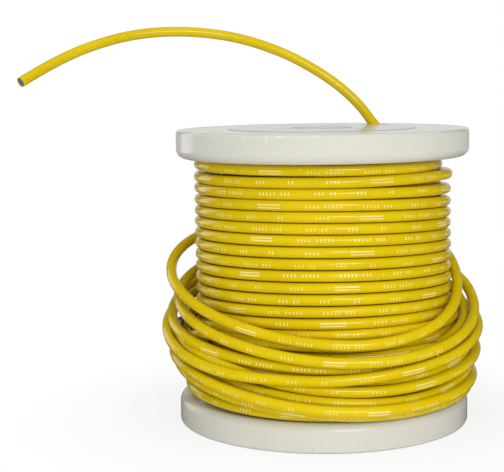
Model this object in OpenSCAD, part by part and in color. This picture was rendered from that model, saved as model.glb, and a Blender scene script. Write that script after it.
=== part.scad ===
// Brake line tubing wound on a moulded spool.
// The spool stands on its lower flange. Its axis is Z and the floor is Z = 0.
// The upper turns lie tight and the lower turns have sprung loose. The free end
// climbs out through the top flange and holds its own arc.

/* [Spool] */
// Outside diameter of both flanges
flange_d = 200; // [190:1:240]
// Height of the whole spool
spool_h = 201; // [167:1:242]
// Thickness of each flange
flange_t = 19; // [15:0.5:23]
// Radius of each flange's edge on the outer side
edge_outer_r = 2; // [1:0.5:4]
// Radius of each flange's edge on the winding side
edge_inner_r = 6; // [4:0.5:8]
// Outside diameter of the barrel
barrel_d = 118; // [104:1:124]
// Diameter of the arbor bore
arbor_d = 36; // [30:1:44]
// Radius of the arbor bore's two mouths
arbor_edge_r = 1.5; // [1:0.25:2.5]
// Diameter of the slanted hole that the free end is threaded through
threading_d = 12; // [11:0.5:14.5]

/* [Hub label] */
// Outside diameter of the label
label_d = 128; // [106:1:130]
// Hole in the label, round the arbor bore
label_hole_d = 42; // [41:0.5:50]
// Thickness of the label
label_t = 0.3; // [0.2:0.05:0.6]

/* [Tubing] */
// Outside diameter of the tubing over its jacket
tube_d = 7.1; // [5.9:0.1:8.5]
// Turns in the outer layer, from flange to flange
turns = 22; // [18:1:26]
// Outside diameter of the tight upper turns
wound_d = 176; // [150:1:180]
// Height up to which the turns have sprung loose
loose_top = 122; // [102:1:146]
// How far the loosest turn stands out past the tight ones
loose_bulge = 24; // [20:0.5:29]

/* [Hidden] */

// Clearance between the innermost turns and the barrel.
barrel_gap = 0.3;
// The loose turns swell along this much of a half wave, in degrees.
bulge_wave = 150;
// Turn of the threading hole about its own axis, in degrees.
seam_turn = 40;

winding_bottom = flange_t;
winding_top = spool_h - flange_t;
tube_r = tube_d / 2;
turn_pitch = (winding_top - winding_bottom - tube_d) / (turns - 1);

// Route of the free end's centreline, from the top turn to the cut end, as [x, y, height
// above the top face]. Point THREAD_IN is where it enters the flange, and THREAD_OUT where
// it leaves.
free_route = [
    [60, 42.5, -20],
    [49, 53.5, -10.5],
    [38.5, 62, 0],
    [28.75, 66, 12.75],
    [17, 67, 24.5],
    [3.75, 67, 34.75],
    [-10.25, 66.75, 43.5],
    [-25, 66.5, 51.25],
    [-40.5, 66, 57.5],
    [-56.25, 65, 62.5],
    [-72.5, 63.25, 66],
    [-88.75, 60.25, 68],
    [-104.75, 56.25, 68.75],
    [-122.25, 50.5, 68],
    [-139, 43.25, 65.5],
    [-154.5, 34.75, 61.25],
    [-169, 24.75, 55.75],
    [-182.25, 14, 49],
    [-194.25, 2.25, 41.5],
    [-205.25, -10.25, 33.75]
];
route = [for (p = free_route) [p[0], p[1], spool_h + p[2]]];
THREAD_IN = 0;
THREAD_OUT = 2;
ring_sides = 12;

// Height of turn i's centre, counted down from the top flange.
function turn_z(i) = winding_top - tube_r - i * turn_pitch;

// How far below the tight turns a height lies, from 0 at loose_top to 1 at the lower flange.
function looseness(z) = max(0, (loose_top - z) / (loose_top - winding_bottom));

// Radius of the outer layer's centreline at a height.
function turn_r(z) = wound_d / 2 - tube_r + loose_bulge * sin(bulge_wave * looseness(z));

function unit(v) = v / norm(v);

// Direction of the route at point i.
function heading(path, i) =
    unit(path[min(i + 1, len(path) - 1)] - path[max(i - 1, 0)]);

// Ring of points round point i of a path, square to its heading.
function ring(path, i, r, sides) =
    let (
        ahead = heading(path, i),
        side = unit(cross(ahead, [0, 0, 1])),
        up = cross(side, ahead)
    )
    [for (k = [0 : sides - 1])
        let (a = 360 * k / sides)
        path[i] + r * cos(a) * side + r * sin(a) * up];

// Tube of radius r swept along a path, with flat ends.
module swept_tube(path, r, sides) {
    last = len(path) - 1;
    points = [for (i = [0 : last]) each ring(path, i, r, sides)];
    walls = [for (i = [0 : last - 1], k = [0 : sides - 1])
        let (next = (k + 1) % sides)
        each [
            [i * sides + k, i * sides + next, (i + 1) * sides + next],
            [i * sides + k, (i + 1) * sides + next, (i + 1) * sides + k]
        ]];
    first_end = [[for (k = [sides - 1 : -1 : 0]) k]];
    last_end = [[for (k = [0 : sides - 1]) last * sides + k]];
    polyhedron(points, concat(walls, first_end, last_end));
}

// Straight bore from one point to another, run on past both. It is turned about its own
// axis by seam_turn, so that its wall's seam crosses the flange on the flank of the bore.
module bore_between(from, to, d, past) {
    way = to - from;
    flat = norm([way[0], way[1]]);
    translate(from)
        rotate([0, atan2(flat, way[2]), atan2(way[1], way[0])])
            rotate(seam_turn)
                translate([0, 0, -past])
                    cylinder(d = d, h = norm(way) + 2 * past, $fn = 48);
}

// What rounding takes off a square corner of a section. The corner is at (r, r).
module corner_waste(r) {
    difference() {
        square([r, r]);
        circle(r, $fn = 32);
    }
}

// A flange with its outer side down and its winding side up.
module flange() {
    rotate_extrude($fn = 128)
        difference() {
            square([flange_d / 2, flange_t]);
            translate([flange_d / 2 - edge_outer_r, edge_outer_r])
                mirror([0, 1]) corner_waste(edge_outer_r);
            translate([flange_d / 2 - edge_inner_r, flange_t - edge_inner_r])
                corner_waste(edge_inner_r);
        }
}

// What rounding takes off the arbor bore's lower mouth.
module arbor_mouth_waste() {
    rotate_extrude($fn = 96)
        translate([arbor_d / 2 + arbor_edge_r, arbor_edge_r])
            rotate(180) corner_waste(arbor_edge_r);
}

module spool() {
    color("ivory")
        difference() {
            union() {
                flange();
                translate([0, 0, spool_h]) mirror([0, 0, 1]) flange();
                cylinder(d = barrel_d, h = spool_h, $fn = 96);
            }
            translate([0, 0, -1]) cylinder(d = arbor_d, h = spool_h + 2, $fn = 64);
            arbor_mouth_waste();
            translate([0, 0, spool_h]) mirror([0, 0, 1]) arbor_mouth_waste();
            bore_between(route[THREAD_IN], route[THREAD_OUT], threading_d, 2 * threading_d);
        }
}

module hub_label() {
    color("lavender")
        translate([0, 0, spool_h])
            difference() {
                cylinder(d = label_d, h = label_t, $fn = 96);
                translate([0, 0, -1])
                    cylinder(d = label_hole_d, h = label_t + 2, $fn = 64);
            }
}

// The wound length as one turned solid, with the outer turns showing.
module tubing_coil() {
    inner_r = barrel_d / 2 + barrel_gap;
    heights = [for (i = [0 : turns - 1]) turn_z(i)];
    last_r = turn_r(heights[turns - 1]);
    color("gold")
        union() {
            rotate_extrude($fn = 96)
                polygon(concat(
                    [[inner_r, winding_top], [turn_r(heights[0]), winding_top]],
                    [for (z = heights) [turn_r(z), z]],
                    [[last_r, winding_bottom], [inner_r, winding_bottom]]
                ));
            for (z = heights)
                rotate_extrude($fn = 96)
                    translate([turn_r(z), z]) circle(tube_r, $fn = 24);
        }
}

// The free length, from the top turn up through the flange to its cut end.
module tubing_end() {
    color("gold") swept_tube(route, tube_r, ring_sides);
}

spool();
hub_label();
tubing_coil();
tubing_end();
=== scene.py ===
"""Brake line tubing wound on a moulded spool: its looks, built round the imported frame.

The hose is one piece: from its outer end, tucked in under the top flange, down the outer
layer, through three hidden layers to the barrel, and up through the top flange to its cut
end. All sizes are in metres, apart from the tables that say millimetres.
"""

import math

import bpy
import numpy as np
from mathutils import Matrix, Vector


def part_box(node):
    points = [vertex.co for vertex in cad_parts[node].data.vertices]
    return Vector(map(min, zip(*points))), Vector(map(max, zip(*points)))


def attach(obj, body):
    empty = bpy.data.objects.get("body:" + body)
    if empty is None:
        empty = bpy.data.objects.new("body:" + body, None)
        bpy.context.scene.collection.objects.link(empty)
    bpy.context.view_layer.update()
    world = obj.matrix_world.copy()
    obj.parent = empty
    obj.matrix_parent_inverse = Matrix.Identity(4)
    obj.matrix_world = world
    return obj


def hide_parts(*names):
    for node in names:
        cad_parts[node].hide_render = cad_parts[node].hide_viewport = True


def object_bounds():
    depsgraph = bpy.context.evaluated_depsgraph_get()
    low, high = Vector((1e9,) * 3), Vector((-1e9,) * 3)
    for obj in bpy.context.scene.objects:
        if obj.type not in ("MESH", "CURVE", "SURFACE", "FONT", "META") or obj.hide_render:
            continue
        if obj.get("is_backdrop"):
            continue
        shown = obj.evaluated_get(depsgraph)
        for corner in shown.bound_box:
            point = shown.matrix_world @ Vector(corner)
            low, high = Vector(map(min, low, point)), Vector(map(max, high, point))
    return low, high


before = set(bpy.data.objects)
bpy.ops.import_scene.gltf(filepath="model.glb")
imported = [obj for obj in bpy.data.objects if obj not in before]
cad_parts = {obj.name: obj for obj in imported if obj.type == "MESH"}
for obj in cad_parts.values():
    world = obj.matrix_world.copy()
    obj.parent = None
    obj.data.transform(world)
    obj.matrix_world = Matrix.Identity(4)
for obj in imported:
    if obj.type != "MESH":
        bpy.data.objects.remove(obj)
CAD_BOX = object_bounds()

MM = 0.001
TAU = 2 * math.pi

# The spool and the foot of the winding, as the frame has them.
SPOOL_HEIGHT = round(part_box("spool")[1].z, 6)
FLANGE_RADIUS = round(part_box("spool")[1].x, 6)
LABEL_RADIUS = round(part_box("hub_label")[1].x, 6)
WINDING_FOOT = round(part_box("tubing_coil")[0].z, 6)

TUBE_RADIUS = 0.00355
TUBE_DIAMETER = 2 * TUBE_RADIUS
CLEARANCE = 0.0001

# The wound hose. A height or radius is that of the tube's centreline. The hidden layers are
# counted from the barrel out.
FIRST_LAYER_RADIUS = 0.06285
LAYER_STEP = 0.0072
HIDDEN_LAYERS = 3
LAST_LAYER_RADIUS = FIRST_LAYER_RADIUS + (HIDDEN_LAYERS - 1) * LAYER_STEP
HIDDEN_TURNS = 19
HIDDEN_TOP = 0.1698
WINDING_BOTTOM = WINDING_FOOT + TUBE_RADIUS + CLEARANCE
WINDING_TOP = 0.1779
TIGHT_RADIUS = 0.08445
WIDEST_RADIUS = 0.1083
CLIMB_TURNS = 0.33
PASSING_TURNS = 0.4
LAST_TURN_LEFT_OUT = 0.45

# The hose's outer end lies under the top flange, for TUCKED_TURNS back from the top turn's front.
# From DIVE_START on it dives in behind the top turn.
TUCKED_TURNS = 0.42
DIVE_START = 0.22
TUCKED_IN = 0.0079

# The top turn drops in on its right, and comes down a slope to run under the outer end. Places
# on it are in turns from its front.
DROPPED_AT = 0.25
DROPPED_IN = 0.0062
DESCENT_FROM = 0.6
DESCENT_TO = 0.74
DESCENT_SLOPE = 0.04

# The hose leaves the innermost layer at the first angle, clears the layers' tops by the
# second, and is below the threading hole at the third, in degrees.
LEAD_ANGLES = (-202, -88, 23)
LEAD_STEP = 15
LEAD_RADIUS = 0.074
LEAD_HEIGHT = 0.1775

# Points of the centreline for each turn, and for each span of the free end.
HIDDEN_RINGS = 24
OUTER_RINGS = 96
SPAN_RINGS = 6
TUBE_SIDES = 20
LINER_SIDES = 32

# The hose's wall at the cut end, from the outside in.
JACKET_INNER_RADIUS = 0.0031
BRAID_RADIUS = 0.0028
BRAID_WIRES = 48
WIRE_RADIUS = 0.00015
WIRE_LENGTH = 0.003
WIRE_INSET = 0.00012
LINER_RADIUS = 0.0025
BORE_RADIUS = 0.0016
CUT_DEPTH = 0.003
CUT_BEVEL = 0.0002
LINER_BEVEL = 0.00012

# What the cut takes off the end of the route.
CUT_SHORT = 0.0001


# ---------------------------------------------------------------- camera


def make_camera():
    """Looks at the spool from in front and a little above, from hand height."""
    data = bpy.data.cameras.new("camera")
    data.sensor_fit = "HORIZONTAL"
    data.sensor_width = 36
    data.lens = 93.748
    data.clip_start = 0.01
    data.clip_end = 50
    camera = bpy.data.objects.new("camera", data)
    bpy.context.collection.objects.link(camera)
    yaw = math.radians(3.0854)
    pitch = math.radians(6.917)
    roll = math.radians(-0.7292)
    turned = Matrix.Rotation(yaw, 4, "Z") @ Matrix.Rotation(math.pi / 2 - pitch, 4, "X")
    turned = turned @ Matrix.Rotation(roll, 4, "Z")
    camera.matrix_world = Matrix.Translation((0, -0.90385, 0.23657)) @ turned
    bpy.context.scene.camera = camera


# ---------------------------------------------------------------- the hose's route

# The free end's centreline, from just under the top flange to the cut end. After the third, the
# points are rounded from ones that a scratch program worked out from the photograph's outline.
FREE_ROUTE = [
    (0.06, 0.0425, 0.181),
    (0.049, 0.0535, 0.1905),
    (0.0385, 0.062, 0.201),
    (0.02875, 0.066, 0.21375),
    (0.017, 0.067, 0.2255),
    (0.00375, 0.067, 0.23575),
    (-0.01025, 0.06675, 0.2445),
    (-0.025, 0.0665, 0.25225),
    (-0.0405, 0.066, 0.2585),
    (-0.05625, 0.065, 0.2635),
    (-0.0725, 0.06325, 0.267),
    (-0.08875, 0.06025, 0.269),
    (-0.10475, 0.05625, 0.26975),
    (-0.12225, 0.0505, 0.269),
    (-0.139, 0.04325, 0.2665),
    (-0.1545, 0.03475, 0.26225),
    (-0.169, 0.02475, 0.25675),
    (-0.18225, 0.014, 0.25),
    (-0.19425, 0.00225, 0.2425),
    (-0.20525, -0.01025, 0.23475),
]

# The outer layer's turns that have sprung loose, from the highest down, in millimetres.
# Each is a ring that has slipped, tipped and lost its roundness:
# radius, centre x, centre y, width gain, skew, height, tip x, tip y, saddle, twist.
# Most of the numbers are rounded from a scratch program's fit to the photograph, and the rest
# were changed by eye.
LOOSE_TURNS = [
    (87, 2.5, 2, 0, 0, 70, 1.5, -3.5, 0.5, 0),
    (95.5, -7.5, -3, 4, -4, 112.5, -4, 48.5, -6, 3),
    (99, -0.5, 15, -4.5, 1, 60.8, 2, -7, 1, 3),
    (91.5, 2, 0, 7, -2.5, 74, -6, 17, -1.5, -2.5),
    (96.5, 2, -8, 5, 0, 87.5, -5, 30.5, -2, 1),
    (100, -3.5, 5, 2, 1, 75.7, 1.5, 23.5, -1, 3),
    (99.5, 0.5, 6, 3.5, -1, 59.7, 1.5, 15, -1, 4),
    (102, -1, -3.5, 6.5, 0, 71.5, 1, 27, -2, -0.5),
    (97.5, 2, -4, 6, 1, 55, -6.5, 11.5, 3.5, 1.5),
    (97, 2, 0, 1.5, 0.5, 48.5, -5.5, 16.5, -0.5, 1.5),
    (101, -0.5, -5.5, 2, 0.5, 38.5, -8, 5.5, 4, 0.5),
    (98.8, 0.5, -1.5, 1.2, 1, 32.5, -8.5, 5, 2, -0.5),
    (90.2, -1, -2, -0.2, 0, 24, -1, 0.5, 0.5, 0),
]
LAST_RING = (87, 0, 0, 0, 0, 22.7, 0, 0, 0, 0)

# The tight turns, in millimetres: the top one's height in front, how far down the next one is
# and how that grows, and how far a turn's front comes to stand above its middle and its right
# below it. The lower ones have slipped to the right and lean up that way, each a step more than
# the one above it.
TIGHT_TURNS = 14
TOP_TURN_HEIGHT = 177.6
TURN_FALL = 7.22
FALL_GROWTH = 0.02
FRONT_RISE = 3.5
RIGHT_FALL = 0.6
TURNS_TO_TIP = 3
SLIP_STEP = 0.15
UNSLIPPED_TURNS = 5

# Where loose turns have shifted against the others: turns down from the top turn's front, and
# how far outwards and up each has shifted there, in millimetres.
SHIFTS = [(17.25, -9, -3), (19.3, -3, 6), (20.3, -9, -4), (21.3, -2, 0), (18.69, 0, 3)]
SHIFTS += [(16.25, 3, 2.5), (16.71, 0, 2), (15.23, -0.8, 0), (15.7, 0, 2.5)]
SHIFT_LENGTH = 0.09

# How the outer layer's turns make room for each other: how much of an overlap a tight turn and a
# loose one give way at a step, how many steps there are, and how smoothly a turn bends away.
TIGHT_GIVE = 0.06
LOOSE_GIVE = 0.46
SETTLING_STEPS = 80
SMOOTHING_PASSES = 8


def tight_turn(index):
    """A tight turn's ring, counted down from the top one: level at first, then tipped a little.

    The second one stands out on its right.
    """
    tipped = min(1, index / TURNS_TO_TIP)
    slipped = SLIP_STEP * max(0, index - UNSLIPPED_TURNS)
    tip_x = slipped - RIGHT_FALL * tipped
    tip_y = -FRONT_RISE * tipped
    height = TOP_TURN_HEIGHT - TURN_FALL * index - FALL_GROWTH * index * index + tip_y
    if index == 1:
        return (84.7, 0.5, 0, 0.4, 0, height, 1, tip_y, 0.5, 0)
    return (TIGHT_RADIUS / MM, slipped, 0, 0, 0, height, tip_x, tip_y, 0, 0)


def turn_table():
    """Every outer turn's ring in metres, with a level one at the bottom to end on."""
    rings = [tight_turn(index) for index in range(TIGHT_TURNS)]
    return np.array(rings + LOOSE_TURNS + [LAST_RING], float) * MM


def ring_points(rings, angles):
    """Points at angles on slipped, tipped rings, one ring for each angle."""
    radius, x, y, width, skew, height, tip_x, tip_y, saddle, twist = rings.T
    reach = radius + width * np.cos(2 * angles) + skew * np.sin(2 * angles)
    rise = tip_x * np.cos(angles) + tip_y * np.sin(angles)
    rise = rise + saddle * np.cos(2 * angles) + twist * np.sin(2 * angles)
    return np.stack([x + reach * np.cos(angles), y + reach * np.sin(angles), height + rise], 1)


def eased(part):
    """Goes from 0 to 1 as part does, with a slow start and a slow end."""
    return part - np.sin(TAU * part) / TAU


def near_turn(down, middle):
    """1 at a place in the turns, and less away from it on both sides."""
    return np.exp(-(((down - middle) / SHIFT_LENGTH) ** 2))


def outer_layer():
    """The outer layer's centreline from the front of the top turn down, and the turns passed.

    The hose runs anticlockwise seen from above, and passes from each ring to the next behind
    the spool.
    """
    rings = turn_table()
    count = len(rings) - 1
    down = np.arange(count * OUTER_RINGS) / OUTER_RINGS
    index = np.floor(down).astype(int)
    share = eased(down - index)[:, None]
    mixed_rings = rings[index] * (1 - share) + rings[index + 1] * share
    angles = -math.pi / 2 + TAU * down
    line = ring_points(mixed_rings, angles)
    for middle, outwards, upwards in SHIFTS:
        near = near_turn(down, middle)
        reach = np.hypot(line[:, 0], line[:, 1])
        line[:, :2] *= (1 + near * outwards * MM / reach)[:, None]
        line[:, 2] += near * upwards * MM
    return line, down


def settled(line, down):
    """Moves the turns of the outer layer apart until no two of them share room.

    Turns are compared where they pass the same half-plane through the spool's axis. The top
    turn has dropped in on its right, and leaves room for the hose's tucked end on its left.
    """
    line = line.copy()
    apart = TUBE_DIAMETER + CLEARANCE / 2
    itself = np.eye(len(line) // OUTER_RINGS, dtype=bool)[None, :, :]
    dropped = DROPPED_IN * near_turn(down, DROPPED_AT)
    nearest = TIGHT_RADIUS - CLEARANCE - dropped
    highest = np.full(len(line), WINDING_TOP)
    last_part = (down > DESCENT_FROM) & (down < 1)
    above_rest = DESCENT_SLOPE * np.maximum(0, DESCENT_TO - down[last_part])
    highest[last_part] = WINDING_TOP - TUBE_DIAMETER - 1.5 * CLEARANCE + above_rest
    loose = np.clip(down - (TIGHT_TURNS - 2), 0, 1)[:, None]
    give = TIGHT_GIVE + (LOOSE_GIVE - TIGHT_GIVE) * loose
    line[:, :2] *= (1 - dropped / TIGHT_RADIUS)[:, None]
    for _ in range(SETTLING_STEPS):
        reach = np.hypot(line[:, 0], line[:, 1])
        section = np.stack([reach, line[:, 2]], 1)
        section = section.reshape(-1, OUTER_RINGS, 2).transpose(1, 0, 2)
        gap = section[:, :, None, :] - section[:, None, :, :]
        far = np.sqrt((gap * gap).sum(3)) + 1e-9
        short = np.where(itself, 0, np.maximum(0, apart - far))
        push = (gap / far[..., None] * short[..., None]).sum(2)
        push = give * push.transpose(1, 0, 2).reshape(-1, 2)
        for _ in range(SMOOTHING_PASSES):
            push[1:-1] = 0.25 * push[:-2] + 0.5 * push[1:-1] + 0.25 * push[2:]
        held = np.clip(reach + push[:, 0], nearest, WIDEST_RADIUS)
        line[:, :2] *= (held / reach)[:, None]
        line[:, 2] = np.clip(line[:, 2] + push[:, 1], WINDING_BOTTOM, highest)
    return line


def on_circle(radius, angle, height):
    return (radius * math.cos(angle), radius * math.sin(angle), height)


def tucked_end():
    """The hose's outer end, up to the front of the top turn: it dives in behind the spool."""
    points = []
    steps = int(TUCKED_TURNS * OUTER_RINGS)
    for step in range(steps, 0, -1):
        back = step / OUTER_RINGS
        inwards = max(0, (back - DIVE_START) / (TUCKED_TURNS - DIVE_START))
        radius = TIGHT_RADIUS - TUCKED_IN * float(eased(inwards))
        points.append(on_circle(radius, -math.pi / 2 - TAU * back, WINDING_TOP - CLEARANCE))
    return np.array(points)


def passing_in(last):
    """From the outer layer's last point in to the highest hidden layer, and the angle there."""
    angle = math.atan2(last[1], last[0])
    radius = math.hypot(last[0], last[1])
    steps = int(PASSING_TURNS * OUTER_RINGS)
    points = []
    for step in range(1, steps):
        part = step / steps
        reach = radius + (LAST_LAYER_RADIUS - radius) * float(eased(part))
        height = last[2] + (WINDING_BOTTOM - last[2]) * min(1, 2 * part)
        points.append(on_circle(reach, angle + TAU * PASSING_TURNS * part, height))
    return np.array(points), angle + TAU * PASSING_TURNS


def hidden_layers(start_angle, end_angle):
    """The layers under the outer one, from its foot inwards, up to end_angle on the last."""
    points = []
    angle = start_angle
    radius = LAST_LAYER_RADIUS
    height = WINDING_BOTTOM
    climb = int(CLIMB_TURNS * HIDDEN_RINGS)
    for layer in range(HIDDEN_LAYERS):
        goal = HIDDEN_TOP if layer % 2 == 0 else WINDING_BOTTOM
        innermost = layer == HIDDEN_LAYERS - 1
        turns = HIDDEN_TURNS
        if innermost:
            turns += (end_angle - angle) / TAU % 1
        steps = int(turns * HIDDEN_RINGS)
        for step in range(steps + 1):
            part = step / steps
            level = height + (goal - height) * part
            points.append(on_circle(radius, angle + TAU * turns * part, level))
        angle += TAU * turns
        height = goal
        if innermost:
            break
        for step in range(1, climb):
            part = step / climb
            reach = radius - LAYER_STEP * float(eased(part))
            points.append(on_circle(reach, angle + TAU * CLIMB_TURNS * part, goal))
        angle += TAU * CLIMB_TURNS
        radius -= LAYER_STEP
    return np.array(points)


def lead_out():
    """From the top of the innermost layer, over the others, towards the threading hole."""
    points = []
    start, outwards_from, end = LEAD_ANGLES
    for degrees in range(start + LEAD_STEP, end + 1, LEAD_STEP):
        climbed = float(eased(min(1, (degrees - start) / (outwards_from - start))))
        moved = float(eased(max(0, (degrees - outwards_from) / (end - outwards_from))))
        radius = FIRST_LAYER_RADIUS + (LEAD_RADIUS - FIRST_LAYER_RADIUS) * moved
        height = HIDDEN_TOP + (LEAD_HEIGHT - HIDDEN_TOP) * climbed
        points.append(on_circle(radius, math.radians(degrees), height))
    return np.array(points)


def spline_through(points, per_span):
    """A smooth line through points."""
    p = np.array(points, float)
    p = np.vstack([2 * p[0] - p[1], p, 2 * p[-1] - p[-2]])
    line = []
    for i in range(1, len(p) - 2):
        for step in range(per_span):
            t = step / per_span
            a = 2 * p[i]
            b = (p[i + 1] - p[i - 1]) * t
            c = (2 * p[i - 1] - 5 * p[i] + 4 * p[i + 1] - p[i + 2]) * t * t
            d = (3 * p[i] - p[i - 1] - 3 * p[i + 1] + p[i + 2]) * t**3
            line.append((a + b + c + d) / 2)
    line.append(p[-2])
    return np.array(line)


def hose_line():
    """The whole hose's centreline from its outer end, and how many points of it are wound."""
    outer, down = outer_layer()
    outer = settled(outer, down)
    outer = outer[: len(outer) - int(LAST_TURN_LEFT_OUT * OUTER_RINGS)]
    passing, angle = passing_in(outer[-1])
    hidden = hidden_layers(angle, math.radians(LEAD_ANGLES[0]))
    lead = lead_out()
    wound = np.vstack([tucked_end(), outer, passing, hidden, lead])
    free = spline_through([lead[-2], lead[-1]] + FREE_ROUTE, SPAN_RINGS)
    free = free[SPAN_RINGS + 1 :]
    end_heading = free[-1] - free[-2]
    end_heading /= np.linalg.norm(end_heading)
    free[-1] -= end_heading * CUT_SHORT
    return np.vstack([wound, free]), len(wound)


# ---------------------------------------------------------------- the hose's mesh


def unit_rows(v):
    return v / np.maximum(np.linalg.norm(v, axis=1), 1e-12)[:, None]


def hose_frames(line, wound_count):
    """The line's headings, the direction that its printed side faces, and the length along it.

    On the spool that side faces outwards and wanders a little. The free end carries it on
    untwisted.
    """
    heading = unit_rows(np.gradient(line, axis=0))
    outwards = unit_rows(line * np.array([1, 1, 0]))
    faced = outwards - (outwards * heading).sum(1)[:, None] * heading
    faced = unit_rows(faced)
    above = np.cross(heading, faced)
    along = np.concatenate([[0], np.cumsum(np.linalg.norm(np.diff(line, axis=0), axis=1))])
    wander = 0.2 * np.sin(along * 3.1 + 1) + 0.14 * np.sin(along * 7.3)
    faced = faced * np.cos(wander)[:, None] + above * np.sin(wander)[:, None]
    for i in range(wound_count, len(line)):
        carried = faced[i - 1] - heading[i] * float(faced[i - 1] @ heading[i])
        faced[i] = carried / np.linalg.norm(carried)
    return heading, faced, along


# How far the print is moved along the hose, in millimetres, at lengths along it in metres, so that
# its bars come where the photograph has them. A scratch program measured most of these.
PRINT_CREEP = [(0, 3), (3.35, 5), (5.5, 10), (6.5, 12), (7.12, 11), (8.2, -85), (10.1, 8)]
PRINT_CREEP += [(10.66, 44), (12.06, 32), (13.33, -54), (13.91, -32), (14.48, -12)]


def print_lengths(along):
    """The lengths along the hose at which its print reads."""
    at, crept = np.array(PRINT_CREEP, float).T
    return along + np.interp(along, at, crept) * MM


def tube_shell(name, line, heading, faced, along, radii, sides):
    """A closed shell round a line, with a radius at each of its points and a cap at each end.

    Its UV map has the length along in metres, and the way round from 0 to 1.
    """
    side = np.cross(heading, faced)
    around = TAU * np.arange(sides) / sides
    ring = np.cos(around)[None, :, None] * faced[:, None, :]
    ring = ring + np.sin(around)[None, :, None] * side[:, None, :]
    points = (line[:, None, :] + radii[:, None, None] * ring).reshape(-1, 3)
    count = len(line)
    i = np.repeat(np.arange(count - 1), sides)
    k = np.tile(np.arange(sides), count - 1)
    after = (k + 1) % sides
    walls = np.stack(
        [i * sides + k, i * sides + after, (i + 1) * sides + after, (i + 1) * sides + k], 1
    )
    start_cap = list(range(sides - 1, -1, -1))
    end_cap = [(count - 1) * sides + corner for corner in range(sides)]
    mesh = bpy.data.meshes.new(name)
    mesh.from_pydata(points.tolist(), [], walls.tolist() + [start_cap, end_cap])
    layer = mesh.uv_layers.new(name="along_around")
    corners = np.zeros((len(walls), 4, 2))
    corners[:, :, 0] = along[np.stack([i, i, i + 1, i + 1], 1)]
    corners[:, :, 1] = np.stack([k, k + 1, k + 1, k], 1) / sides
    caps = np.zeros((2 * sides, 2))
    caps[sides:, 0] = along[-1]
    caps[:, 1] = 0.5
    layer.data.foreach_set("uv", np.concatenate([corners.reshape(-1, 2), caps]).ravel())
    mesh.polygons.foreach_set("use_smooth", np.ones(len(walls) + 2, bool))
    mesh.update()
    return mesh


def link(mesh, name):
    piece = bpy.data.objects.new(name, mesh)
    bpy.context.collection.objects.link(piece)
    return piece


def make_jacket(line, heading, faced, along):
    """The hose's outside, with a softened rim and a step down to the braid at the cut end."""
    rim = [
        (TUBE_RADIUS, -CUT_BEVEL),
        (TUBE_RADIUS - 0.3 * CUT_BEVEL, -0.3 * CUT_BEVEL),
        (TUBE_RADIUS - CUT_BEVEL, 0),
        (JACKET_INNER_RADIUS + 0.3 * CUT_BEVEL, 0),
        (JACKET_INNER_RADIUS, -0.3 * CUT_BEVEL),
        (JACKET_INNER_RADIUS, -CUT_DEPTH),
    ]
    keep = len(line) - 1
    rim_radii, shifts = np.array(rim).T
    points = np.vstack([line[:keep], line[-1] + heading[-1] * shifts[:, None]])
    rows = np.concatenate([np.arange(keep), np.full(len(rim), keep)])
    radii = np.concatenate([np.full(keep, TUBE_RADIUS), rim_radii])
    lengths = np.concatenate([along[:keep], along[-1] + shifts])
    mesh = tube_shell("hose", points, heading[rows], faced[rows], lengths, radii, TUBE_SIDES)
    return link(mesh, "hose")


def make_liner(line, heading, faced):
    """The inner tube at the cut end, with its open bore."""
    profile = [
        (LINER_RADIUS, -CUT_DEPTH),
        (LINER_RADIUS, -LINER_BEVEL),
        (LINER_RADIUS - LINER_BEVEL, 0),
        (BORE_RADIUS + LINER_BEVEL, 0),
        (BORE_RADIUS, -LINER_BEVEL),
        (BORE_RADIUS, CLEARANCE - CUT_DEPTH),
    ]
    radii, shifts = np.array(profile).T
    points = line[-1] + heading[-1] * shifts[:, None]
    rows = np.full(len(profile), len(line) - 1)
    mesh = tube_shell(
        "hose_liner", points, heading[rows], faced[rows], shifts, radii, LINER_SIDES
    )
    return link(mesh, "hose_liner")


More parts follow.
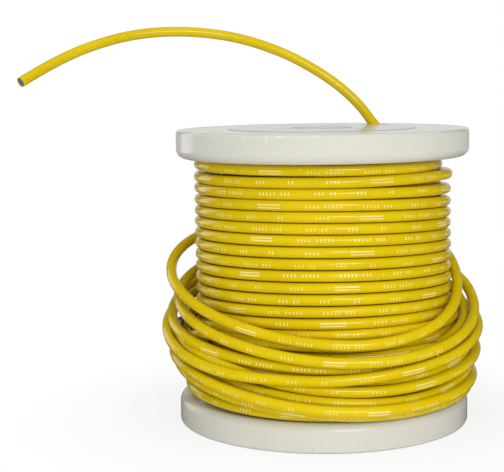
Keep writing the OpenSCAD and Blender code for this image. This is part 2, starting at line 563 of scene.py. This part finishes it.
def braid_tree(material):
    """Geometry nodes that set wires round a ring, and the value for each of their inputs.

    Each wire is cut a little differently, and leans along the braid.
    """
    tree = bpy.data.node_groups.new("cut_braid", "GeometryNodeTree")
    sizes = [("Wires", "NodeSocketInt", BRAID_WIRES), ("Ring Radius", FLOAT, BRAID_RADIUS)]
    sizes += [("Wire Radius", FLOAT, WIRE_RADIUS), ("Wire Length", FLOAT, WIRE_LENGTH)]
    sizes += [("Lean", FLOAT, 0.35), ("Uneven", FLOAT, 0.00022)]
    tree.interface.new_socket("Geometry", in_out="INPUT", socket_type="NodeSocketGeometry")
    values = {}
    for label, kind, value in sizes:
        socket = tree.interface.new_socket(label, in_out="INPUT", socket_type=kind)
        values[socket.identifier] = value
    tree.interface.new_socket("Geometry", in_out="OUTPUT", socket_type="NodeSocketGeometry")
    given = tree.nodes.new("NodeGroupInput").outputs
    result = tree.nodes.new("NodeGroupOutput").inputs
    ring = {"Vertices": given["Wires"], "Radius": given["Ring Radius"]}
    circle = add(tree, "GeometryNodeMeshCircle", ring)
    rod = {"Vertices": 6, "Radius": given["Wire Radius"], "Depth": given["Wire Length"]}
    wire = add(tree, "GeometryNodeMeshCylinder", rod)
    place = add(tree, "GeometryNodeInputPosition").outputs[0]
    order = add(tree, "GeometryNodeInputIndex").outputs[0]
    odd = calc(tree, "MULTIPLY_ADD", calc(tree, "MODULO", order, 2.0), 2.0, -1.0)
    lean = calc(tree, "MULTIPLY", odd, given["Lean"])
    parts = add(tree, "ShaderNodeSeparateXYZ", {0: place})
    angle = calc(tree, "ARCTAN2", parts.outputs[1], parts.outputs[0])
    turn = add(tree, "ShaderNodeCombineXYZ", {0: lean, 2: angle})
    ends = add(tree, "GeometryNodeInstanceOnPoints", {"Points": circle.outputs[0]})
    put(tree, ends.inputs["Instance"], wire.outputs[0])
    put(tree, ends.inputs["Rotation"], turn.outputs[0])
    cut = add(tree, "FunctionNodeRandomValue", data_type="FLOAT")
    put(tree, cut.inputs[2], 0.0)
    put(tree, cut.inputs[3], 1.0)
    put(tree, cut.inputs["Seed"], 7)
    back = calc(tree, "MULTIPLY", cut.outputs[1], given["Uneven"])
    inset = calc(tree, "MULTIPLY_ADD", given["Wire Length"], 0.5, WIRE_INSET)
    back = calc(tree, "ADD", back, inset)
    shift = add(tree, "ShaderNodeCombineXYZ", {2: calc(tree, "MULTIPLY", back, -1.0)})
    moved = add(tree, "GeometryNodeTranslateInstances", {0: ends.outputs[0]})
    put(tree, moved.inputs["Translation"], shift.outputs[0])
    moved.inputs["Local Space"].default_value = False
    real = add(tree, "GeometryNodeRealizeInstances", {0: moved.outputs[0]})
    finish = add(tree, "GeometryNodeSetMaterial", {0: real.outputs[0]})
    finish.inputs["Material"].default_value = material
    put(tree, result["Geometry"], finish.outputs[0])
    return tree, values


def make_braid(line, heading, faced, material):
    """The ends of the steel braid's wires, in a ring between the jacket and the inner tube."""
    tree, values = braid_tree(material)
    maker = link(bpy.data.meshes.new("braid_maker"), "braid_maker")
    modifier = maker.modifiers.new("cut_braid", "NODES")
    modifier.node_group = tree
    for identifier, value in values.items():
        modifier[identifier] = value
    evaluated = maker.evaluated_get(bpy.context.evaluated_depsgraph_get())
    mesh = bpy.data.meshes.new_from_object(evaluated)
    mesh.name = "hose_braid"
    bpy.data.objects.remove(maker)
    side = np.cross(heading[-1], faced[-1])
    turned = Matrix(np.stack([faced[-1], side, heading[-1]], 1).tolist()).to_4x4()
    mesh.transform(Matrix.Translation(line[-1]) @ turned)
    return link(mesh, "hose_braid")


# ---------------------------------------------------------------- node helpers

FLOAT = "NodeSocketFloat"
VECTOR = "NodeSocketVector"


def add(tree, kind, values=None, **settings):
    """Adds a node, and sets or links its inputs from values."""
    node = tree.nodes.new(kind)
    for key, value in settings.items():
        setattr(node, key, value)
    for key, value in (values or {}).items():
        put(tree, node.inputs[key], value)
    return node


def put(tree, socket, value):
    """Links a socket to an input, or sets the input's value."""
    if isinstance(value, bpy.types.NodeSocket):
        tree.links.new(value, socket)
    else:
        socket.default_value = value


def calc(tree, operation, *values):
    """A Math node's result."""
    node = tree.nodes.new("ShaderNodeMath")
    node.operation = operation
    for socket, value in zip(node.inputs, values):
        put(tree, socket, value)
    return node.outputs[0]


def ramp(tree, value, low, high):
    """0 up to low, 1 from high on, and a smooth slope between. High may be under low."""
    values = {0: value, 1: low, 2: high, 3: 0.0, 4: 1.0}
    return add(tree, "ShaderNodeMapRange", values, interpolation_type="SMOOTHSTEP").outputs[0]


def mixed(tree, share, first, second):
    """A colour between two, by share."""
    node = add(tree, "ShaderNodeMix", data_type="RGBA")
    put(tree, node.inputs[0], share)
    put(tree, node.inputs[6], first)
    put(tree, node.inputs[7], second)
    return node.outputs[2]


def new_group(name, inputs, outputs):
    """A shader node group with named inputs and outputs."""
    tree = bpy.data.node_groups.new(name, "ShaderNodeTree")
    for label, kind, value in inputs:
        socket = tree.interface.new_socket(label, in_out="INPUT", socket_type=kind)
        if value is not None:
            socket.default_value = value
    for label, kind in outputs:
        tree.interface.new_socket(label, in_out="OUTPUT", socket_type=kind)
    return tree, tree.nodes.new("NodeGroupInput").outputs, tree.nodes.new("NodeGroupOutput").inputs


def use_group(tree, group, **values):
    """Places a node group. An input's name is given with _ for each space."""
    node = tree.nodes.new("ShaderNodeGroup")
    node.node_tree = group
    for key, value in values.items():
        put(tree, node.inputs[key.replace("_", " ")], value)
    return node.outputs


def noise(tree, vector, scale, detail=3.0, roughness=0.55):
    values = {"Vector": vector, "Scale": scale, "Detail": detail, "Roughness": roughness}
    return add(tree, "ShaderNodeTexNoise", values).outputs[0]


# ---------------------------------------------------------------- shared effects


def mottle_group():
    """Broad cloudiness with a finer grain in it, from 0 to 1."""
    inputs = [("Vector", VECTOR, None), ("Cloud Scale", FLOAT, 20.0), ("Grain Scale", FLOAT, 300.0)]
    inputs += [("Grain Share", FLOAT, 0.3)]
    tree, given, result = new_group("mottle", inputs, [("Amount", FLOAT)])
    cloud = ramp(tree, noise(tree, given["Vector"], given["Cloud Scale"]), 0.32, 0.68)
    grain = ramp(tree, noise(tree, given["Vector"], given["Grain Scale"], 2.0), 0.3, 0.7)
    finer = calc(tree, "SUBTRACT", grain, cloud)
    finer = calc(tree, "MULTIPLY", finer, given["Grain Share"])
    put(tree, result["Amount"], calc(tree, "ADD", cloud, finer))
    return tree


def scuff_group():
    """Sparse fine scratches in two directions, broken up along their length."""
    inputs = [("Vector", VECTOR, None), ("Scale", FLOAT, 60.0), ("Threshold", FLOAT, 0.66)]
    tree, given, result = new_group("scuffs", inputs, [("Mask", FLOAT)])
    masks = []
    for turn in (0.4, 2.1):
        spun = add(tree, "ShaderNodeVectorRotate", {"Vector": given["Vector"], "Angle": turn})
        stretched = add(tree, "ShaderNodeVectorMath", {0: spun.outputs[0]}, operation="MULTIPLY")
        stretched.inputs[1].default_value = (1, 14, 4)
        fibres = noise(tree, stretched.outputs[0], given["Scale"], 1.0)
        higher = calc(tree, "ADD", given["Threshold"], 0.04)
        masks.append(ramp(tree, fibres, given["Threshold"], higher))
    both = calc(tree, "MAXIMUM", *masks)
    patches = ramp(tree, noise(tree, given["Vector"], 25.0, 2.0), 0.45, 0.65)
    put(tree, result["Mask"], calc(tree, "MULTIPLY", both, patches))
    return tree


def speck_group():
    """Small separate specks of dust or dirt."""
    inputs = [("Vector", VECTOR, None), ("Scale", FLOAT, 250.0), ("Share", FLOAT, 0.12)]
    inputs += [("Size", FLOAT, 0.2)]
    tree, given, result = new_group("specks", inputs, [("Mask", FLOAT)])
    spread = {"Vector": given["Vector"], "Scale": given["Scale"]}
    cells = add(tree, "ShaderNodeTexVoronoi", spread)
    chosen = add(tree, "ShaderNodeSeparateColor", {0: cells.outputs["Color"]})
    kept = calc(tree, "LESS_THAN", chosen.outputs[0], given["Share"])
    size = calc(tree, "MULTIPLY", chosen.outputs[1], given["Size"])
    near = ramp(tree, cells.outputs["Distance"], size, calc(tree, "MULTIPLY", size, 0.5))
    put(tree, result["Mask"], calc(tree, "MULTIPLY", kept, near))
    return tree


# The print along the hose, in millimetres. After a pair of bars come groups of plain ticks, one
# to a cell.
PRINT_PERIOD = 198.5
PRINT_SHIFT = 18.6
BAR_LENGTH = 15.0
BAR_OFFSET = 0.95
CELL_LENGTH = PRINT_PERIOD / 85
TICK_STRENGTH = 0.8

# Where ink ends and where it is full: out from the line of a bar, up a tick, and along a tick as
# a share of its cell. A tick's middle is at TICK_PLACE in its cell. A bar fades within BAR_END of
# each of its ends.
BAR_EDGE = (0.54, 0.28)
BAR_END = 0.125
TICK_TOP = (1.1, 0.85)
TICK_EDGE = (0.22, 0.14)
TICK_PLACE = 0.45

# The groups of ticks: the cell that each starts on, and how many cells long it is.
TICK_GROUPS = [(13, 4), (18, 5), (28, 5), (34, 3), (43, 3), (47, 2), (54, 3), (63, 2), (73, 4)]


def print_group():
    """Ink on the hose: a pair of bars, then groups of plain ticks, over and over.

    Along is in metres, and Around goes from 0 to 1.
    """
    inputs = [("Along", FLOAT, 0.0), ("Around", FLOAT, 0.0)]
    tree, given, result = new_group("print_marks", inputs, [("Ink", FLOAT)])
    run = calc(tree, "MULTIPLY_ADD", given["Along"], 1 / MM, PRINT_SHIFT)
    repeat = calc(tree, "FLOOR", calc(tree, "DIVIDE", run, PRINT_PERIOD))
    at = calc(tree, "SUBTRACT", run, calc(tree, "MULTIPLY", repeat, PRINT_PERIOD))
    wrapped = calc(tree, "SUBTRACT", given["Around"], calc(tree, "ROUND", given["Around"]))
    across = calc(tree, "MULTIPLY", wrapped, TAU * TUBE_RADIUS / MM)
    off_middle = calc(tree, "ABSOLUTE", across)
    bars = calc(tree, "ABSOLUTE", calc(tree, "SUBTRACT", off_middle, BAR_OFFSET))
    bars = ramp(tree, bars, *BAR_EDGE)
    half = BAR_LENGTH / 2
    off_centre = calc(tree, "ABSOLUTE", calc(tree, "SUBTRACT", at, half))
    ended = ramp(tree, off_centre, half + BAR_END, half - BAR_END)
    bars = calc(tree, "MULTIPLY", bars, ended)
    in_cells = calc(tree, "DIVIDE", at, CELL_LENGTH)
    cell = calc(tree, "FLOOR", in_cells)
    groups = None
    for start, count in TICK_GROUPS:
        off = calc(tree, "ABSOLUTE", calc(tree, "SUBTRACT", cell, start + (count - 1) / 2))
        group = calc(tree, "LESS_THAN", off, count / 2)
        groups = group if groups is None else calc(tree, "ADD", groups, group)
    within = calc(tree, "SUBTRACT", calc(tree, "FRACT", in_cells), TICK_PLACE)
    ticks = ramp(tree, calc(tree, "ABSOLUTE", within), *TICK_EDGE)
    ticks = calc(tree, "MULTIPLY", ticks, ramp(tree, off_middle, *TICK_TOP))
    ticks = calc(tree, "MULTIPLY", ticks, calc(tree, "MULTIPLY", groups, TICK_STRENGTH))
    marks = calc(tree, "MAXIMUM", bars, ticks)
    worn = add(tree, "ShaderNodeCombineXYZ", {0: calc(tree, "MULTIPLY", run, 0.06), 1: across})
    fading = ramp(tree, noise(tree, worn.outputs[0], 1.1, 3.0, 0.7), 0.3, 0.52)
    fading = calc(tree, "MULTIPLY_ADD", fading, 0.7, 0.3)
    chance = add(tree, "ShaderNodeTexWhiteNoise", {"W": repeat}, noise_dimensions="1D")
    strength = calc(tree, "MULTIPLY_ADD", chance.outputs[0], 0.4, 0.6)
    ink = calc(tree, "MULTIPLY", calc(tree, "MULTIPLY", marks, fading), strength)
    put(tree, result["Ink"], ink)
    return tree


# ---------------------------------------------------------------- materials


def new_material(name):
    material = bpy.data.materials.new(name)
    material.use_nodes = True
    tree = material.node_tree
    return material, tree, tree.nodes["Principled BSDF"]


def mottled(tree, effects, place, cloud_scale, grain_scale, grain_share):
    """The shared cloudiness, at an object's scale."""
    scales = {"Cloud_Scale": cloud_scale, "Grain_Scale": grain_scale}
    group = use_group(tree, effects["mottle"], Vector=place, Grain_Share=grain_share, **scales)
    return group["Amount"]


def jacket_material(effects):
    """Glossy yellow plastic, with worn pale print and drag lines."""
    material, tree, shader = new_material("yellow_jacket")
    uv = add(tree, "ShaderNodeUVMap", uv_map="along_around").outputs[0]
    parts = add(tree, "ShaderNodeSeparateXYZ", {0: uv})
    along = parts.outputs[0]
    around = parts.outputs[1]
    place = add(tree, "ShaderNodeTexCoord").outputs["Object"]
    ink = use_group(tree, effects["print"], Along=along, Around=around)["Ink"]
    cloud = mottled(tree, effects, place, 28.0, 260.0, 0.25)
    colour = mixed(tree, cloud, (0.63, 0.456, 0.001, 1), (0.68, 0.506, 0.002, 1))
    scuffs = use_group(tree, effects["scuffs"], Vector=place, Scale=90.0, Threshold=0.68)["Mask"]
    colour = mixed(tree, calc(tree, "MULTIPLY", scuffs, 0.12), colour, (0.85, 0.75, 0.2, 1))
    colour = mixed(tree, calc(tree, "MULTIPLY", ink, 0.78), colour, (0.88, 0.83, 0.42, 1))
    put(tree, shader.inputs["Base Color"], colour)
    rough = calc(tree, "MULTIPLY_ADD", cloud, 0.05, 0.12)
    rough = calc(tree, "MULTIPLY_ADD", scuffs, 0.2, rough)
    rough = calc(tree, "MULTIPLY_ADD", ink, 0.22, rough)
    put(tree, shader.inputs["Roughness"], rough)
    lengths = add(tree, "ShaderNodeCombineXYZ", {0: calc(tree, "MULTIPLY", along, 2.5), 1: around})
    drag = noise(tree, lengths.outputs[0], 14.0, 3.0, 0.7)
    relief = calc(tree, "MULTIPLY", drag, 0.3)
    relief = calc(tree, "MULTIPLY_ADD", ink, 0.3, relief)
    bump = add(tree, "ShaderNodeBump", {"Height": relief, "Strength": 0.25, "Distance": 0.00012})
    put(tree, shader.inputs["Normal"], bump.outputs[0])
    shader.inputs["IOR"].default_value = 1.48
    return material


def around_axis(tree):
    """The object's coordinates, and the distance from the spool's axis."""
    place = add(tree, "ShaderNodeTexCoord").outputs["Object"]
    parts = add(tree, "ShaderNodeSeparateXYZ", {0: place})
    squares = [calc(tree, "MULTIPLY", parts.outputs[i], parts.outputs[i]) for i in (0, 1)]
    reach = calc(tree, "SQRT", calc(tree, "ADD", *squares))
    return place, reach


# Where the top flange's handling marks and the painted shade of a small hole are. The scratch is
# part of a circle round its middle, from SCRATCH_START to the right, and the nick is a row of
# spots.
PINHOLE = (-0.0523, -0.0498, SPOOL_HEIGHT)
SCRATCH_MIDDLE = (-0.0366, -0.0931, SPOOL_HEIGHT - 0.0039)
SCRATCH_RADIUS = 0.003
SCRATCH_START = -0.0355
NICK_SPOTS = [(x, -0.0964, SPOOL_HEIGHT - 0.0011) for x in (-0.0272, -0.0262, -0.0252)]


def distance_to(tree, place, point):
    node = add(tree, "ShaderNodeVectorMath", {0: place, 1: point}, operation="DISTANCE")
    return node.outputs["Value"]


def marks_and_hole_shade(tree, place):
    """Masks of a small hole's painted shade in the top face, and of a pale scratch and nick on its
    front.
    """
    # Painted shade: a dark disc on the flat top face stands for the inside of a small hole.
    hole_shade = ramp(tree, distance_to(tree, place, PINHOLE), 0.0009, 0.0005)
    bow = calc(tree, "SUBTRACT", distance_to(tree, place, SCRATCH_MIDDLE), SCRATCH_RADIUS)
    scratch = ramp(tree, calc(tree, "ABSOLUTE", bow), 0.0003, 0.0001)
    across = add(tree, "ShaderNodeSeparateXYZ", {0: place}).outputs[0]
    begun = ramp(tree, across, SCRATCH_START, SCRATCH_START + 0.0007)
    pale = calc(tree, "MULTIPLY", scratch, begun)
    for middle in NICK_SPOTS:
        spot = ramp(tree, distance_to(tree, place, middle), 0.0007, 0.0003)
        pale = calc(tree, "MAXIMUM", pale, spot)
    return hole_shade, pale


def spool_material(effects):
    """Natural moulded plastic: faintly cloudy, with a scuffed rim, fine scratches, dust, and a
    small hole's painted shade.
    """
    material, tree, shader = new_material("ivory_plastic")
    place, reach = around_axis(tree)
    cloud = mottled(tree, effects, place, 9.0, 180.0, 0.12)
    colour = mixed(tree, cloud, (0.60, 0.592, 0.525, 1), (0.625, 0.62, 0.56, 1))
    rim = ramp(tree, reach, FLANGE_RADIUS - 0.006, FLANGE_RADIUS - 0.0005)
    rubbed = ramp(tree, noise(tree, place, 90.0, 3.0, 0.6), 0.55, 0.75)
    worn = calc(tree, "MULTIPLY", rim, rubbed)
    colour = mixed(tree, calc(tree, "MULTIPLY", worn, 0.05), colour, (0.62, 0.6, 0.52, 1))
    scuffs = use_group(tree, effects["scuffs"], Vector=place, Scale=55.0, Threshold=0.665)["Mask"]
    colour = mixed(tree, calc(tree, "MULTIPLY", scuffs, 0.1), colour, (0.5, 0.49, 0.45, 1))
    dirt = use_group(tree, effects["specks"], Vector=place, Scale=140.0, Share=0.06, Size=0.16)
    colour = mixed(tree, calc(tree, "MULTIPLY", dirt["Mask"], 0.4), colour, (0.36, 0.33, 0.26, 1))
    hole_shade, pale = marks_and_hole_shade(tree, place)
    # The small hole's dark is painted shade, mixed into the colour.
    colour = mixed(tree, calc(tree, "MULTIPLY", hole_shade, 0.85), colour, (0.12, 0.11, 0.09, 1))
    colour = mixed(tree, calc(tree, "MULTIPLY", pale, 0.7), colour, (0.86, 0.86, 0.84, 1))
    put(tree, shader.inputs["Base Color"], colour)
    rough = calc(tree, "MULTIPLY_ADD", cloud, 0.03, 0.15)
    rough = calc(tree, "MULTIPLY_ADD", worn, 0.06, rough)
    rough = calc(tree, "MULTIPLY_ADD", scuffs, 0.12, rough)
    put(tree, shader.inputs["Roughness"], rough)
    turned = calc(tree, "SINE", calc(tree, "MULTIPLY", reach, 5200.0))
    waves = noise(tree, place, 38.0, 2.0)
    relief = calc(tree, "MULTIPLY_ADD", turned, 0.03, waves)
    relief = calc(tree, "MULTIPLY_ADD", scuffs, -0.15, relief)
    bump = add(tree, "ShaderNodeBump", {"Height": relief, "Strength": 0.06, "Distance": 0.0003})
    put(tree, shader.inputs["Normal"], bump.outputs[0])
    shader.inputs["IOR"].default_value = 1.5
    shader.inputs["Subsurface Weight"].default_value = 0.2
    shader.inputs["Subsurface Radius"].default_value = (1.0, 0.85, 0.6)
    shader.inputs["Subsurface Scale"].default_value = 0.006
    return material


def label_material(effects):
    """Bare coated paper, with its cut edge a little darker and a few handling marks."""
    material, tree, shader = new_material("label_paper")
    place, reach = around_axis(tree)
    fibre = mottled(tree, effects, place, 45.0, 1400.0, 0.6)
    colour = mixed(tree, fibre, (0.50, 0.488, 0.502, 1), (0.52, 0.51, 0.522, 1))
    edge = ramp(tree, reach, LABEL_RADIUS - 0.0014, LABEL_RADIUS - 0.0004)
    colour = mixed(tree, calc(tree, "MULTIPLY", edge, 0.5), colour, (0.42, 0.41, 0.4, 1))
    scuffs = use_group(tree, effects["scuffs"], Vector=place, Scale=50.0, Threshold=0.67)["Mask"]
    colour = mixed(tree, calc(tree, "MULTIPLY", scuffs, 0.4), colour, (0.35, 0.34, 0.33, 1))
    put(tree, shader.inputs["Base Color"], colour)
    rough = calc(tree, "MULTIPLY_ADD", fibre, 0.04, 0.13)
    put(tree, shader.inputs["Roughness"], calc(tree, "MULTIPLY_ADD", scuffs, 0.25, rough))
    bump = add(tree, "ShaderNodeBump", {"Height": fibre, "Strength": 0.02, "Distance": 0.0001})
    put(tree, shader.inputs["Normal"], bump.outputs[0])
    return material


def liner_material(effects):
    """Dull blue-grey plastic, faintly cloudy."""
    material, tree, shader = new_material("grey_liner")
    place = add(tree, "ShaderNodeTexCoord").outputs["Object"]
    cloud = mottled(tree, effects, place, 400.0, 3000.0, 0.4)
    colour = mixed(tree, cloud, (0.13, 0.16, 0.18, 1), (0.2, 0.235, 0.255, 1))
    put(tree, shader.inputs["Base Color"], colour)
    put(tree, shader.inputs["Roughness"], calc(tree, "MULTIPLY_ADD", cloud, 0.15, 0.35))
    return material


def wire_material(effects):
    """Drawn steel wire, dulled in patches."""
    material, tree, shader = new_material("steel_wire")
    place = add(tree, "ShaderNodeTexCoord").outputs["Object"]
    cloud = mottled(tree, effects, place, 900.0, 6000.0, 0.4)
    colour = mixed(tree, cloud, (0.16, 0.17, 0.18, 1), (0.3, 0.31, 0.32, 1))
    put(tree, shader.inputs["Base Color"], colour)
    put(tree, shader.inputs["Roughness"], calc(tree, "MULTIPLY_ADD", cloud, 0.2, 0.25))
    shader.inputs["Metallic"].default_value = 1.0
    return material


# ---------------------------------------------------------------- studio


def area_light(name, place, target, width, height, power, tint=(1, 1, 1)):
    data = bpy.data.lights.new(name, "AREA")
    data.shape = "RECTANGLE"
    data.size = width
    data.size_y = height
    data.energy = power
    data.color = tint
    lamp = bpy.data.objects.new(name, data)
    bpy.context.collection.objects.link(lamp)
    lamp.location = place
    lamp.rotation_euler = (Vector(target) - Vector(place)).to_track_quat("-Z", "Y").to_euler()
    lamp.visible_camera = False
    return lamp


def make_world():
    """White for the camera. A gloss sees white behind the spool and dark round the camera.

    Matt surfaces take most of their fill from in front.
    """
    world = bpy.data.worlds.new("studio")
    bpy.context.scene.world = world
    world.use_nodes = True
    tree = world.node_tree
    tree.nodes.clear()
    path = add(tree, "ShaderNodeLightPath")
    way = add(tree, "ShaderNodeTexCoord").outputs["Generated"]
    backwards = add(tree, "ShaderNodeSeparateXYZ", {0: way}).outputs[1]
    behind = ramp(tree, backwards, 0.86, 0.985)
    gloss = calc(tree, "MULTIPLY_ADD", behind, 0.74, 0.03)
    in_front = ramp(tree, backwards, 0.35, -0.45)
    fill = calc(tree, "MULTIPLY_ADD", in_front, 0.81, 0.15)
    bright = add(tree, "ShaderNodeMix", {0: path.outputs["Is Glossy Ray"], 2: fill, 3: gloss})
    seen = calc(tree, "MAXIMUM", path.outputs["Is Camera Ray"], path.outputs["Is Transmission Ray"])
    bright = add(tree, "ShaderNodeMix", {0: seen, 2: bright.outputs[0], 3: 1.0})
    white = (1, 1, 1, 1)
    light = add(tree, "ShaderNodeBackground", {"Color": white, "Strength": bright.outputs[0]})
    output = add(tree, "ShaderNodeOutputWorld")
    tree.links.new(light.outputs[0], output.inputs["Surface"])


def make_floor():
    """A wide floor for the spool to stand on."""
    half = 6
    corners = [(-half, -half, 0), (half, -half, 0), (half, half, 0), (-half, half, 0)]
    mesh = bpy.data.meshes.new("floor")
    mesh.from_pydata(corners, [], [(0, 1, 2, 3)])
    mesh.materials.append(floor_material())
    floor = link(mesh, "floor")
    floor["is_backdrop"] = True


def floor_material():
    """Pale and matt, to take the spool's shadow, and running out into plain white."""
    material, tree, shader = new_material("pale_floor")
    shader.inputs["Base Color"].default_value = (0.9, 0.9, 0.9, 1)
    shader.inputs["Roughness"].default_value = 0.9
    place, reach = around_axis(tree)
    far = ramp(tree, reach, 0.1, 0.24)
    path = add(tree, "ShaderNodeLightPath")
    share = calc(tree, "MULTIPLY_ADD", far, 0.2, 0.8)
    share = calc(tree, "MULTIPLY", path.outputs["Is Camera Ray"], share)
    share = calc(tree, "MAXIMUM", share, path.outputs["Is Glossy Ray"])
    backwards = add(tree, "ShaderNodeSeparateXYZ", {0: place}).outputs[1]
    bright = calc(tree, "MULTIPLY_ADD", ramp(tree, backwards, 0.3, 1.2), 0.4, 0.05)
    bright = calc(tree, "MAXIMUM", bright, path.outputs["Is Camera Ray"])
    white = add(tree, "ShaderNodeEmission", {"Color": (1, 1, 1, 1), "Strength": bright})
    both = add(tree, "ShaderNodeMixShader", {0: share})
    tree.links.new(shader.outputs[0], both.inputs[1])
    tree.links.new(white.outputs[0], both.inputs[2])
    output = tree.nodes["Material Output"]
    tree.links.new(both.outputs[0], output.inputs["Surface"])
    return material


def make_lights():
    area_light("key", (0.46, -1.2, 0.62), (0, 0, 0.1), 0.62, 0.26, 4.4)
    overhead = area_light("overhead", (-0.1, 0.1, 1.6), (0, 0, 0.2), 1.4, 1.4, 7.0)
    overhead.visible_glossy = False
    low = area_light("low", (0, -1.0, 0.06), (0, 0, 0.09), 2.6, 0.1, 3.3)
    low.visible_glossy = False
    area_light("side", (-1.0, 0.75, 0.4), (0, 0, 0.12), 0.5, 0.9, 1.8, (1, 0.95, 0.92))


# ---------------------------------------------------------------- putting it together

make_camera()
hose_points, wound_count = hose_line()
headings, facing, lengths = hose_frames(hose_points, wound_count)
hose = make_jacket(hose_points, headings, facing, print_lengths(lengths))
liner = make_liner(hose_points, headings, facing)
effects = {
    "mottle": mottle_group(),
    "scuffs": scuff_group(),
    "specks": speck_group(),
    "print": print_group(),
}
hose.data.materials.append(jacket_material(effects))
liner.data.materials.append(liner_material(effects))
braid = make_braid(hose_points, headings, facing, wire_material(effects))
for piece in (hose, liner, braid):
    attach(piece, "root")
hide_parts("tubing_coil", "tubing_end")

finishes = {"spool": spool_material(effects), "hub_label": label_material(effects)}
for node, material in finishes.items():
    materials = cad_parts[node].data.materials
    materials.clear()
    materials.append(material)

make_world()
make_floor()
make_lights()
bpy.context.scene.view_settings.view_transform = "Standard"

VISUAL_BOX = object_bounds()
boxes = {"cad": CAD_BOX, "visual": VISUAL_BOX}
boxes = {name: [list(map(float, corner)) for corner in box] for name, box in boxes.items()}
